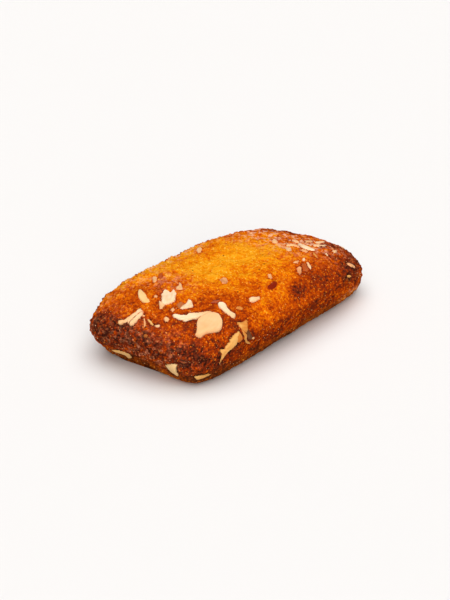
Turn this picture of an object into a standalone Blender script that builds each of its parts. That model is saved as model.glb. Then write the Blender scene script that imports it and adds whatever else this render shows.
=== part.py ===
"""Financier cake: a small bar-shaped almond cake with flaked almonds baked onto its crust.

Metres, +Z up. The cake lies on its narrow, flat mould face with the domed side up, long axis
along X. The browner, undercut end is at -X. The origin is on the resting face, under the middle
of the cake's box. The cake is one solid, with its low relief and its larger flakes fused on.
"""
import math
import random
from collections import namedtuple

import bmesh
import bpy
from mathutils import Vector, noise
from mathutils.bvhtree import BVHTree

MM = 0.001

# Driving dimensions
LENGTH = 88.0 * MM
WIDTH = 47.4 * MM
RIM_HEIGHT = 11.4 * MM          # from the resting face up to the widest outline
DOME_HEIGHT = 7.4 * MM          # from that outline up to the crown
BASE_ROUNDING = 1.8 * MM        # radius of the edge round the resting face

# How far the base is drawn in from the rim, at each side
DRAFT_NEAR_END = 7.4 * MM
DRAFT_FAR_END = 2.2 * MM
DRAFT_LEFT = 7.5 * MM
DRAFT_RIGHT = 6.6 * MM
DRAFT_CURVE = 1.25

# Superellipse exponents of the plan outline: squarer at the base, rounder at the crown
BASE_SQUARENESS = 7.9
RIM_SQUARENESS = 3.2
CROWN_SQUARENESS = 2.6

# The dome's profile from crown to rim, and the slope with which the far end sank in baking
DOME_FLATNESS = 3.5
DOME_SHOULDER = 0.665
SLOPE_ALONG = -0.045
SLOPE_ACROSS = -0.002

# Relief of the crust: wide swells, and lumps a few millimetres across
SWELL_SIZE = 13.0 * MM
SWELL_HEIGHT = 0.45 * MM
LUMP_SIZE = 3.8 * MM
LUMP_HEIGHT = 0.50 * MM
RELIEF_SETTLING = 0.12 * MM     # keeps the lumps' tops near the smooth form
RELIEF_FADE = 3.0 * MM          # height over which the relief dies out towards the base
LOWEST_SIDE = 0.25 * MM         # the side's points stay this far above the resting face
NOISE_SHIFT = Vector((3.7, 1.9, 8.3))

# Where the bake came out uneven: the middle, radius and height of each bulge or dent, in mm
UNEVEN = (
    ((-38.0, 3.0, 0.5), 9.0, -1.5),
    ((-38.0, 12.0, 1.0), 5.0, -0.4),
    ((-10.0, -19.0, 2.0), 12.0, 0.2),
    ((0.0, 20.0, 15.0), 16.0, -0.15),
    ((26.0, 18.0, 14.0), 9.0, -0.3),
    ((40.0, 9.0, 13.0), 6.0, -0.6),
    ((41.0, -3.0, 12.0), 6.0, 0.4),
)

# Faces along the length, across the width and up the side
CELLS_ALONG = 56
CELLS_ACROSS = 32
CELLS_UP = 9
SHOULDER_CROWDING = 1.3         # draws the top's rings together towards the rim

# Almond flakes
FLAKE_PROUD = 0.45 * MM         # how far a flake stands out of the crust
FLAKE_DEPTH = 1.50 * MM         # how deep it is set
FLAKE_TAPER = 0.86              # size of its upper face against its lower one
FLAKE_BEND = 0.75               # 0 is flat, 1 follows the crust all the way
SEED = 4172

CRUST_COLOUR = (0.62, 0.26, 0.06, 1.0)
ALMOND_COLOUR = (0.90, 0.74, 0.50, 1.0)

# Outline of each kind of flake: corners, squareness, taper, raggedness, and a tail at its head
Kind = namedtuple("Kind", "corners squareness taper raggedness tail")
KINDS = {
    "disc": Kind(16, 2.3, 0.05, 0.03, 0.85),
    "half": Kind(12, 2.4, 0.30, 0.05, 0.0),
    "wing": Kind(14, 2.2, 0.45, 0.07, 0.0),
    "oval": Kind(12, 2.0, 0.25, 0.05, 0.0),
    "stick": Kind(8, 3.2, 0.22, 0.08, 0.0),
    "shard": Kind(9, 2.6, 0.20, 0.20, 0.0),
}

# Each flake: its kind, the face it lies on, its place there in mm, its length and width in mm,
# and its heading in degrees. A place is x, y on the top, x, z on a long side, y, z on an end.
Flake = namedtuple("Flake", "kind face first second length width heading")
FLAKES = (
    # the browned third of the top
    Flake("disc", "top", -30.6, -16.1, 7.4, 7.0, 180),
    Flake("wing", "top", -31.4, -10.6, 11.2, 3.4, -39),
    Flake("stick", "top", -23.0, -16.1, 7.2, 2.2, -98),
    Flake("shard", "top", -28.7, -6.8, 4.8, 4.2, -21),
    Flake("shard", "top", -27.5, 0.0, 7.6, 4.2, 37),
    Flake("shard", "top", -31.9, -1.2, 3.8, 2.2, 37),
    Flake("shard", "top", -21.6, 1.1, 3.8, 2.4, 37),
    Flake("oval", "top", -31.0, 5.7, 7.4, 3.0, 60),
    Flake("stick", "top", -39.3, 4.6, 7.2, 1.8, -30),
    Flake("stick", "top", -39.3, 1.8, 6.2, 1.8, -14),
    Flake("stick", "top", -39.2, -4.4, 4.6, 1.2, -92),
    Flake("shard", "top", -36.2, -5.9, 2.6, 2.0, 37),
    Flake("shard", "top", -22.0, 9.2, 2.8, 2.0, 37),
    # the pale middle
    Flake("shard", "top", 3.8, 14.0, 4.2, 2.0, 37),
    Flake("shard", "top", -10.7, -5.9, 3.4, 2.8, 37),
    Flake("shard", "top", 0.4, -13.3, 2.6, 2.0, 37),
    Flake("oval", "top", -2.8, -16.2, 4.2, 2.6, 20),
    Flake("shard", "top", -12.3, -17.5, 4.4, 3.2, 10),
    # the far third of the top
    Flake("stick", "top", 24.9, -8.4, 5.8, 2.0, -76),
    Flake("stick", "top", 31.9, -8.1, 3.8, 2.2, -34),
    Flake("stick", "top", 28.6, -5.0, 4.2, 1.8, -50),
    Flake("shard", "top", 22.9, 0.8, 3.0, 2.0, 37),
    Flake("shard", "top", 19.5, -5.9, 3.2, 2.0, 37),
    Flake("shard", "top", 14.9, -15.9, 3.8, 1.8, 50),
    Flake("shard", "top", 10.2, -16.1, 4.4, 1.8, 37),
    Flake("shard", "top", 14.2, -12.2, 3.2, 2.4, 37),
    # the right-hand side, with the long flake beside the corner
    Flake("shard", "right", -22.8, 13.2, 6.4, 2.6, -78),
    Flake("wing", "right", -29.0, 10.6, 9.8, 3.3, 40),
    # the lower edge of the near end
    Flake("stick", "near", 8.0, 4.2, 6.6, 2.2, 0),
    Flake("half", "near", -10.6, 5.0, 6.0, 4.4, -20),
    Flake("stick", "near", -17.0, 2.9, 5.0, 2.2, 10),
)

# Flakes on the left side and the far end, drawn by rule: how many, and their sizes in mm
HIDDEN_FLAKES = (("left", 6), ("far", 3))
HIDDEN_LENGTH = (3.0, 6.5)
HIDDEN_WIDTH = (1.8, 3.2)
HIDDEN_HEIGHT = (6.5, 11.0)

# Each face's view from outside: the axis to the right, the axis upwards, and the outward one
FACES = {
    "top": (Vector((1, 0, 0)), Vector((0, 1, 0)), Vector((0, 0, 1))),
    "right": (Vector((1, 0, 0)), Vector((0, 0, 1)), Vector((0, -1, 0))),
    "left": (Vector((-1, 0, 0)), Vector((0, 0, 1)), Vector((0, 1, 0))),
    "near": (Vector((0, -1, 0)), Vector((0, 0, 1)), Vector((-1, 0, 0))),
    "far": (Vector((0, 1, 0)), Vector((0, 0, 1)), Vector((1, 0, 0))),
}
CAST_DISTANCE = 200.0 * MM


def clear_scene():
    """Remove every object of the start-up scene."""
    for item in list(bpy.data.objects):
        bpy.data.objects.remove(item, do_unlink=True)


def principled(name, colour, roughness):
    """A plain non-metallic material."""
    material = bpy.data.materials.new(name)
    material.use_nodes = True
    shader = material.node_tree.nodes["Principled BSDF"]
    shader.inputs["Base Color"].default_value = colour
    shader.inputs["Roughness"].default_value = roughness
    shader.inputs["Metallic"].default_value = 0.0
    material.diffuse_color = colour
    return material


def on_outline(p, q, squareness):
    """Scale that takes the square's edge point (p, q) to a superellipse of unit half axes."""
    return (abs(p) ** squareness + abs(q) ** squareness) ** (-1.0 / squareness)


def side_point(p, q, height):
    """A point of the side, from the resting face up to the rim."""
    share = min(1.0, max(0.0, (height - BASE_ROUNDING) / (RIM_HEIGHT - BASE_ROUNDING)))
    scale = on_outline(p, q, BASE_SQUARENESS + (RIM_SQUARENESS - BASE_SQUARENESS) * share)
    x = LENGTH / 2 * p * scale
    y = WIDTH / 2 * q * scale
    drawn_in = max(0.0, 1 - height / RIM_HEIGHT) ** DRAFT_CURVE
    x *= 1 - (DRAFT_NEAR_END if x < 0 else DRAFT_FAR_END) / (LENGTH / 2) * drawn_in
    y *= 1 - (DRAFT_RIGHT if y < 0 else DRAFT_LEFT) / (WIDTH / 2) * drawn_in
    below = 1 - min(height, BASE_ROUNDING) / BASE_ROUNDING
    rounded = BASE_ROUNDING * (1 - math.sqrt(1 - below * below))
    shrink = 1 - rounded / math.hypot(x, y)
    return Vector((x * shrink, y * shrink, height))


def top_point(p, q, ring):
    """A point of the dome, from the crown (ring 0) out to the rim (ring 1)."""
    squareness = CROWN_SQUARENESS + (RIM_SQUARENESS - CROWN_SQUARENESS) * ring
    scale = on_outline(p, q, squareness) * ring
    rise = max(0.0, 1 - ring ** DOME_FLATNESS) ** DOME_SHOULDER
    return Vector((LENGTH / 2 * p * scale, WIDTH / 2 * q * scale, RIM_HEIGHT + DOME_HEIGHT * rise))


def smooth_point(u, v, w):
    """The smooth form's point for a point (u, v, w) of the cube from -1 to 1."""
    reach = max(abs(u), abs(v))
    p, q = (u / reach, v / reach) if reach > 0 else (1.0, 0.0)
    if w > 1 - 1e-6 and reach < 1 - 1e-6:
        point = top_point(p, q, 1 - (1 - reach) ** SHOULDER_CROWDING)
    elif w < -1 + 1e-6:
        point = side_point(p, q, 0.0) * min(1.0, reach)
    else:
        point = side_point(p, q, RIM_HEIGHT * (w + 1) / 2)
    risen = point.z / (RIM_HEIGHT + DOME_HEIGHT)
    point.z += risen * (SLOPE_ALONG * point.x + SLOPE_ACROSS * point.y)
    return point


def relief(point):
    """Height of the crust's swells and lumps over the smooth form."""
    fade = min(1.0, max(0.0, point.z / RELIEF_FADE))
    fade = fade * fade * (3 - 2 * fade)
    swell = noise.noise(point / SWELL_SIZE + NOISE_SHIFT)
    lump = noise.noise(point / LUMP_SIZE - NOISE_SHIFT)
    return fade * (SWELL_HEIGHT * swell + LUMP_HEIGHT * lump - RELIEF_SETTLING)


def unevenness(point):
    """Height of the wide bulges and dents over the smooth form."""
    total = 0.0
    for middle, radius, height in UNEVEN:
        distance = (point - Vector(middle) * MM).length / (radius * MM)
        total += height * MM * math.exp(-distance * distance)
    return total


def gridded_cube():
    """A cube from -1 to 1 with its faces cut into a grid."""
    bm = bmesh.new()
    bmesh.ops.create_cube(bm, size=2.0)
    for axis, cells in enumerate((CELLS_ALONG, CELLS_ACROSS, CELLS_UP)):
        normal = Vector((0, 0, 0))
        normal[axis] = 1.0
        for step in range(1, cells):
            place = normal * (2.0 * step / cells - 1.0)
            geometry = bm.verts[:] + bm.edges[:] + bm.faces[:]
            bmesh.ops.bisect_plane(bm, geom=geometry, dist=1e-6, plane_co=place, plane_no=normal)
    return bm


def fill_box(bm):
    """Stretch the form slightly so that its plan box is LENGTH by WIDTH about the origin."""
    for axis, size in ((0, LENGTH), (1, WIDTH)):
        low = min(vert.co[axis] for vert in bm.verts)
        high = max(vert.co[axis] for vert in bm.verts)
        for vert in bm.verts:
            vert.co[axis] = ((vert.co[axis] - low) / (high - low) - 0.5) * size


def cake_form():
    """The bare cake: the gridded cube drawn to the cake's form, with its low relief."""
    bm = gridded_cube()
    for vert in bm.verts:
        vert.co = smooth_point(*vert.co)
    bm.normal_update()
    shifts = [vert.normal * (relief(vert.co) + unevenness(vert.co)) for vert in bm.verts]
    for vert, shift in zip(bm.verts, shifts):
        resting = vert.co.z < 1e-7
        vert.co += shift
        vert.co.z = 0.0 if resting else max(vert.co.z, LOWEST_SIDE)
    fill_box(bm)
    resting = [face for face in bm.faces if all(vert.co.z < 1e-7 for vert in face.verts)]
    bmesh.ops.dissolve_faces(bm, faces=resting, use_verts=True)
    bm.normal_update()
    return bm


def flake_outline(kind, length, width, rng):
    """Corners of a flake in its own plane, head towards +X."""
    shape = KINDS[kind]
    corners = []
    for step in range(shape.corners):
        angle = 2 * math.pi * step / shape.corners
        c = math.cos(angle)
        s = math.sin(angle)
        x = math.copysign(abs(c) ** (2 / shape.squareness), c)
        y = math.copysign(abs(s) ** (2 / shape.squareness), s) * (1 - shape.taper * x)
        reach = 1 + shape.raggedness * rng.uniform(-1, 1)
        if step == 0:
            reach += shape.tail
        corners.append((x * reach * length / 2, y * reach * width / 2))
    return corners


def flake_frame(flake, skin):
    """Where a flake lies on the crust: its middle, its head's direction, sideways and outwards."""
    right, up, out = FACES[flake.face]
    if flake.face == "top":
        place = Vector((flake.first, flake.second, 0)) * MM
    elif flake.face in ("right", "left"):
        place = Vector((flake.first, 0, flake.second)) * MM
    else:
        place = Vector((0, flake.first, flake.second)) * MM
    middle, normal = skin.ray_cast(place + out * CAST_DISTANCE, -out)[:2]
    heading = math.radians(flake.heading)
    ahead = right * math.cos(heading) + up * math.sin(heading)
    ahead = (ahead - normal * ahead.dot(normal)).normalized()
    return middle, ahead, normal.cross(ahead), normal


def flake_solid(flake, skin, rng):
    """A flake as a closed slab that bends part of the way with the crust."""
    middle, ahead, sideways, normal = flake_frame(flake, skin)
    corners = flake_outline(flake.kind, flake.length * MM, flake.width * MM, rng)
    bm = bmesh.new()
    lower = []
    upper = []
    for x, y in corners:
        place = middle + ahead * x + sideways * y
        hit = skin.ray_cast(place + normal * 10 * MM, -normal)[0]
        drop = (hit - place).dot(normal) if hit else 0.0
        place += normal * drop * FLAKE_BEND
        inner = middle + (place - middle) * FLAKE_TAPER
        lower.append(bm.verts.new(place - normal * FLAKE_DEPTH))
        upper.append(bm.verts.new(inner + normal * FLAKE_PROUD))
    for index, vert in enumerate(upper):
        after = (index + 1) % len(upper)
        bm.faces.new((lower[index], lower[after], upper[after], vert))
    crown = bm.faces.new(upper)
    floor = bm.faces.new(lower[::-1])
    bmesh.ops.triangulate(bm, faces=[crown, floor])
    bm.normal_update()
    return bm


def hidden_flakes(rng):
    """Flakes on the sides that are turned away, placed evenly with random shifts."""
    flakes = []
    for face, count in HIDDEN_FLAKES:
        run = (LENGTH if face == "left" else WIDTH) / MM - 18
        for step in range(count):
            place = run * ((step + rng.uniform(0.2, 0.8)) / count - 0.5)
            kind = rng.choice(("shard", "stick", "oval"))
            length = rng.uniform(*HIDDEN_LENGTH)
            width = rng.uniform(*HIDDEN_WIDTH)
            heading = rng.uniform(-60, 60)
            flakes.append(Flake(kind, face, place, rng.uniform(*HIDDEN_HEIGHT), length, width, heading))
    return flakes


def add_object(name, bm, material, collection):
    """Turn a bmesh into a named object with its material."""
    mesh = bpy.data.meshes.new(name)
    bm.to_mesh(mesh)
    bm.free()
    mesh.materials.append(material)
    item = bpy.data.objects.new(name, mesh)
    collection.objects.link(item)
    return item


def new_collection(name):
    """A collection linked to the scene."""
    collection = bpy.data.collections.new(name)
    bpy.context.scene.collection.children.link(collection)
    return collection


def fuse(item, collection):
    """Join the collection's solids to the item by one union, then remove them."""
    union = item.modifiers.new("fuse", "BOOLEAN")
    union.operation = "UNION"
    union.solver = "EXACT"
    union.operand_type = "COLLECTION"
    union.collection = collection
    bpy.context.view_layer.update()
    graph = bpy.context.evaluated_depsgraph_get()
    mesh = bpy.data.meshes.new_from_object(item.evaluated_get(graph))
    item.modifiers.remove(union)
    item.data = mesh
    for extra in list(collection.objects):
        bpy.data.objects.remove(extra, do_unlink=True)
    bpy.data.collections.remove(collection)


def build():
    """Make the cake and fuse the flakes to it."""
    clear_scene()
    rng = random.Random(SEED)
    crust = principled("baked_crust", CRUST_COLOUR, 0.6)
    almond = principled("almond", ALMOND_COLOUR, 0.55)
    form = cake_form()
    skin = BVHTree.FromBMesh(form)
    cake = add_object("cake", form, crust, new_collection("financier_cake"))
    cake.data.materials.append(almond)
    flakes = new_collection("flakes")
    for number, flake in enumerate(list(FLAKES) + hidden_flakes(rng)):
        add_object("flake_%02d" % number, flake_solid(flake, skin, rng), almond, flakes)
    fuse(cake, flakes)
    cake.data.shade_smooth()
    cake.data.set_sharp_from_angle(angle=math.radians(40))


build()
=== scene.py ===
"""Looks of the financier cake: its baked crust, its flaked almonds, and a plain studio round it.

The crumb piece repeats the CAD cake's form on a fine grid and adds the grain of the crust. The
flakes are separate pieces set into it, where the CAD has them fused on. Forms are worked out in
millimetres, in the CAD model's frame, and scaled to metres when a mesh is made.
"""

import math
import random
from collections import namedtuple

import bpy
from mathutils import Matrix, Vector, geometry, noise
from mathutils.bvhtree import BVHTree


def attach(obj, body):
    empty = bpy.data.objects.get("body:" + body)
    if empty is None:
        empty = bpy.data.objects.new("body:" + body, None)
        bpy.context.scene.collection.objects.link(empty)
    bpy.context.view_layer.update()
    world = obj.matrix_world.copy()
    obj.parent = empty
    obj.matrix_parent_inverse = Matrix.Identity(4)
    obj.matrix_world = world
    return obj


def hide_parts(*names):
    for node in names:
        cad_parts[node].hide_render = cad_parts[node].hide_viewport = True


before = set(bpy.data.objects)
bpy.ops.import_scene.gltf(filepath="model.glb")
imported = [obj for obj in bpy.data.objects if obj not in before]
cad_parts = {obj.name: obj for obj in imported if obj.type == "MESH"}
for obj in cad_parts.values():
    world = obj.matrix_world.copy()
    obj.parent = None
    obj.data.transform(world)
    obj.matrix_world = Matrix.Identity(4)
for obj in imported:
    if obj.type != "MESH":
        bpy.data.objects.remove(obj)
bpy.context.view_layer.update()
MM = 0.001
TINY = 1e-6

# The cake's form, as the CAD model has it, in mm
LENGTH = 88.0
WIDTH = 47.4
RIM_HEIGHT = 11.4
DOME_HEIGHT = 7.4
BASE_ROUNDING = 1.8
DRAFT_NEAR_END = 7.4
DRAFT_FAR_END = 2.2
DRAFT_LEFT = 7.5
DRAFT_RIGHT = 6.6
DRAFT_CURVE = 1.25
BASE_SQUARENESS = 7.9
RIM_SQUARENESS = 3.2
CROWN_SQUARENESS = 2.6
DOME_FLATNESS = 3.5
DOME_SHOULDER = 0.665
SLOPE_ALONG = -0.045
SLOPE_ACROSS = -0.002
SWELL_SIZE = 13.0
SWELL_HEIGHT = 0.45
LUMP_SIZE = 3.8
LUMP_HEIGHT = 0.50
RELIEF_SETTLING = 0.12
RELIEF_FADE = 3.0
LOWEST_SIDE = 0.25
NOISE_SHIFT = Vector((3.7, 1.9, 8.3))
UNEVEN = (
    ((-38.0, 3.0, 0.5), 9.0, -1.5),
    ((-38.0, 12.0, 1.0), 5.0, -0.4),
    ((-10.0, -19.0, 2.0), 12.0, 0.2),
    ((0.0, 20.0, 15.0), 16.0, -0.15),
    ((26.0, 18.0, 14.0), 9.0, -0.3),
    ((40.0, 9.0, 13.0), 6.0, -0.6),
    ((41.0, -3.0, 12.0), 6.0, 0.4),
)
SHOULDER_CROWDING = 1.3

# The fine grid: cells along, across and up the side, and the rings that close the resting face
CELLS_ALONG = 290
CELLS_ACROSS = 156
CELLS_UP = 40
BASE_RINGS = (0.94, 0.85, 0.7, 0.5, 0.25)

# Grain of the crust, in mm: sizes, and heights where it is smoothest and where it is roughest
CLUMP_SIZE = 2.0
CLUMP_HEIGHT = (0.16, 0.46)
GRANULE_SIZE = 0.95
GRANULE_HEIGHT = (0.30, 0.72)
PIT_SIZE = 0.8
PIT_LEVEL = 0.20
PIT_DEPTH = (0.10, 0.95)
CREASE_LEVEL = 0.2  # noise below this lies under the smooth form
GRAIN_FADE = 1.2  # the grain grows in over this height above the resting face

# The rough, browner rim at the left and the far end: the way it faces, and how much browner it is.
# Each pair says how far a face turns that way from where an effect starts to where it is full. The
# browning also depends on how far the face looks up.
BACK_RIM = Vector((0.35, 0.94, 0.0))
BACK_RIM_BAKE = 0.50
BACK_RIM_TURN = (0.43, 0.62)
BACK_RIM_RISE = (0.0, 0.4)
BACK_RIM_ROUGH = (0.34, 0.52)
BACK_RIM_NO_DUST_OR_SHEEN = (0.40, 0.50)

# Browning: 0 is pale gold, 1 is nearly black. The top starts from gold, and each band browns a
# share of what is left, from a start to an end in mm along a direction in plan.
GOLD_BAKE = 0.13
SIDE_BAKE = 0.71
SIDE_TURN = (0.1, 0.75)  # how far a face looks up, from the sides' browning to the top's
DARKEST = 0.86
BAKE_BANDS = (
    ((-1.0, -0.4), 9.0, 26.0, 0.37),
    ((-1.0, 0.0), 26.0, 38.0, 0.20),
    ((-1.0, 0.0), 38.0, 43.0, 0.35),
    ((1.0, 0.0), 15.0, 37.0, 0.45),
    ((0.0, -1.0), 1.0, 14.0, 0.27),
    ((0.35, -1.0), 17.0, 22.0, 0.40),
    ((0.0, 1.0), 4.0, 10.0, 0.16),
)
# Soft patches: the middle, the radii, and how much it adds there
BAKE_PATCHES = (
    ((-8, -20, 12.5), (15, 6, 4), -0.1),
    ((20, -22, 12.5), (12, 5, 3), 0.04),
    ((-32, -20, 6), (9, 6, 9), 0.02),
    ((-43, 4, 14), (5, 12, 3), 0.17),
    ((-42, -18, 9), (5, 5, 9), 0.04),
    ((-8, 20, 16), (24, 5, 5), -0.08),
    ((-33, 18, 14), (10, 7, 6), -0.18),
    ((-39, -7, 13.5), (4, 7, 3), -0.14),
    ((-16, -10.5, 17.5), (6, 4, 5), -0.13),
    ((-22, 6, 17.5), (4, 6, 5), 0.09),
    ((-18, 0.5, 18), (2.5, 2.5, 3), 0.13),
    ((0, -4.5, 18.5), (9, 3, 4), 0.09),
    ((4, 14.5, 17), (4, 2.5, 4), 0.1),
    ((14, 8, 18), (6, 3, 5), -0.04),
    ((18, 3.5, 18), (2.5, 2, 4), 0.14),
    ((29, -11, 16), (7, 5, 5), -0.13),
    ((37, 7, 14), (6, 5, 5), 0.09),
    ((30, -18, 14.5), (7, 4, 3), -0.1),
    ((-36, -18, 14), (5, 4, 3), -0.12),
    ((4, -18, 14.5), (8, 3, 2.5), 0.08),
    ((-15, -18, 2), (26, 6, 3), 0.08),
    ((32, -17, 4), (7, 7, 3), -0.2),
    ((20, -6, 17), (4, 5, 4), 0.12),
    ((-2, -10, 17.5), (5, 3, 4), 0.07),
    ((40, 8, 13), (5, 6, 5), 0.12),
    ((-14, -20, 14), (3, 3, 3), -0.13),
    ((3, -20, 15), (4, 4, 2), 0.09),
    ((-39, -16, 12), (6, 6, 3), 0.18),
    ((-42, -19, 9), (5, 5, 6), 0.08),
    ((-36, -20, 10), (5, 4, 3), 0.08),
    ((-38, -18, 3), (5, 5, 3), 0.12),
    ((-43, 6, 9), (5, 16, 6), 0.06),
    ((-25.5, -20, 15), (3, 3, 3), 0.12),
    ((33, 4, 15), (6, 10, 5), -0.04),
    ((33, -18, 12.5), (8, 5, 3), 0.06),
    ((-43, 4, 10), (4, 12, 3), 0.05),
    ((-37, 9, 15), (5, 7, 4), -0.05),
    ((-43, 9, 9), (4, 5, 6), 0.08),
    ((-42, 18, 10), (5, 7, 6), 0.16),
    ((26, -12, 16), (3, 3, 3), -0.1),
    ((-30, -18, 3), (10, 5, 3), 0.04),
    ((20, -23, 9.5), (9, 5, 4), -0.07),
    ((-43.5, 8, 13.5), (3, 5, 3), 0.12),
    ((-10, 16.5, 18), (3, 3, 4), -0.1),
    ((26, 0, 17), (4, 7, 4), 0.1),
    ((42, 6, 12), (4, 9, 5), 0.08),
    ((18, 4, 18), (3, 3, 4), 0.08),
    ((-20, -13.5, 17), (3, 3, 4), -0.09),
    ((11, 8, 18), (3, 3, 4), -0.08),
    ((14, -20, 13.5), (9, 4, 2), 0.08),
    ((-10, -21, 13), (3, 3, 2), 0.1),
    ((-34, -18, 2.5), (4, 5, 2), 0.12),
    ((34, -18, 5), (3, 5, 3), -0.1),
    ((-42, -14, 5), (4, 5, 4), 0.09),
    ((-42, 19, 11), (4, 4, 3), -0.06),
    ((28, -21, 12.5), (4, 4, 3), 0.18),
    ((24, -16, 15.5), (3, 3, 3), -0.04),
    ((22, 18, 15.5), (12, 3, 3), 0.1),
    ((-34, 12, 16.5), (6, 5, 4), -0.05),
    ((-17, 13, 18), (4, 4, 4), -0.05),
    ((-15, 6, 18.5), (3, 3, 4), -0.08),
    ((9, 3, 18.3), (3, 3, 4), 0.08),
)
# Pale flecks on the crust, partly almond dust and partly painted sheen and highlights: the middle, the
# radii, and how strong they are there
DUST_AND_SHEEN_PATCHES = (
    ((27, -4, 16), (8, 8, 6), 0.75),
    ((31, 13, 15), (10, 8, 6), 0.35),
    ((-16, 19.5, 16), (22, 5, 5), 0.35),
    ((12, 20.5, 15), (16, 4, 5), 0.45),
    ((-43, 2, 9), (5, 20, 6), 0.6),
    ((35, -6, 14), (8, 14, 5), 0.42),
    ((-37, 18, 12.5), (7, 5, 6), 0.12),
    ((27, 9, 16.5), (8, 6, 4), 0.45),
    ((32, -17, 4), (7, 7, 3), 0.5),
    ((-20, 6, 17.5), (5, 7, 4), 0.3),
)
# How rough the crust is, 0 to 1, over a general roughness
ROUGHNESS = 0.22
ROUGH_PATCHES = (
    ((-45, 2, 8), (6, 28, 9), 0.8),
    ((-39, -20, 8), (7, 7, 8), 0.65),
    ((42, -12, 9), (8, 14, 7), 0.25),
    ((2, -22, 8), (40, 6, 8), 0.25),
)
SCORCH_AND_SHADE = 0.14  # browning beside the almonds, partly scorch and partly painted shade round their edges, and how far from them it reaches
SCORCH_AND_SHADE_REACH = 1.1
UNDER_FLAKE = 0.10  # how far the crumb stays below the face of a flake that covers it
COVER_ABOVE = 2.5  # where the search for such a flake starts, and how far it goes
COVER_SEARCH = 4.0
FOOT_HEIGHTS = (1.5, 7.0)  # the sides turn to a yellower brown from the upper height down
FOOT_START = (-42.0, -36.0)  # that begins here along the cake, behind the near end
EDGE_GOLD = 0.45  # paler lower edge of the near end, up to a height and back to a place
EDGE_HEIGHTS = (0.4, 2.0)
EDGE_END = (-38.0, -34.0)
BAKE_SWELL = 0.10  # slow drift of the browning, over DRIFT_SIZE
DRIFT_SIZE = 7.0

# Almond flakes. An outline's corners run anticlockwise round the flake's middle, in mm, as it is
# seen from outside its face. Its tones, at its tail and at its head, are places on its kind's ramp.
FLAKE_PROUD = 0.20  # height over the crust, and how far the slice reaches below it
FLAKE_DEPTH = 0.80
FLAKE_EDGE = 0.22  # width of the rounded edge, and how far below the crust it starts,
FLAKE_SUNK = 0.2  # as a share of the flake's height
FLAKE_BEND = 0.85  # how much of the crust's shape a flake follows
FLAKE_TILT = 0.05  # most sideways slope, and the height and size of its warps
FLAKE_WARP = 0.05
WARP_SIZE = 1.1
FLAKE_STEP = 0.26  # spacing of a flake's points, of its rows, and their gap to the rim
ROW_SHARE = 0.87
GAP_SHARE = 0.4
RAG_SIZES = (0.9, 0.35)  # the wide and the fine raggedness of an outline
FINE_RAG = 0.8
FLAKE_STREAK = 0.16  # how much a flake's tone varies in streaks along it
SMOOTH_STREAK = 0.05  # the same for a slice with a smooth outline
STREAK_SIZE = (3.0, 0.45)
SEED = 4172
NOISE_REACH = 50
Slice = namedtuple("Slice", "corners soft ragged")
Flake = namedtuple("Flake", "face first second heading tones slice lift")


def chip(length, width):
    """An irregular broken piece."""
    half = length / 2
    right = ((-half, -0.30 * width), (-0.4 * half, -0.50 * width), (0.3 * half, -0.42 * width))
    left = ((half, -0.08 * width), (0.9 * half, 0.28 * width), (0.2 * half, 0.50 * width),
            (-0.5 * half, 0.40 * width), (-half, 0.15 * width))
    return Slice(right + left, 0, 0.12)


def sliver(length, width):
    """A narrow strip with one blunt end and one pointed end."""
    half = length / 2
    right = ((-half, -0.40 * width), (0.1 * half, -0.50 * width), (half, -0.12 * width))
    left = ((half, 0.10 * width), (0.1 * half, 0.50 * width), (-0.9 * half, 0.40 * width))
    return Slice(right + left, 0, 0.05)


def oval(length, width):
    """A slice with round ends."""
    half = length / 2
    side = width / 2
    right = ((-half, -0.6 * side), (-0.5 * half, -side), (0.5 * half, -side), (half, -0.6 * side))
    return Slice(right + tuple((-a, -b) for a, b in right), 2, 0.05)


def turned(piece, heading):
    """A slice turned by a heading in degrees."""
    cos = math.cos(math.radians(heading))
    sin = math.sin(math.radians(heading))
    return piece._replace(corners=tuple((a * cos - b * sin, a * sin + b * cos) for a, b in piece.corners))


def drawn(first, second, heading, tones, corners, soft=0, ragged=0.10, lift=0.0, face="top"):
    """A flake whose outline is drawn as it lies, with its streaks along a heading in degrees.

    Its place is x, y on the top, x, z on a side and y, z on an end. Soft rounds the corners off a
    number of times, ragged is how uneven the edge is, and lift raises it, in mm.
    """
    return Flake(face, first, second, heading, tones, Slice(corners, soft, ragged), lift)


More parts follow.
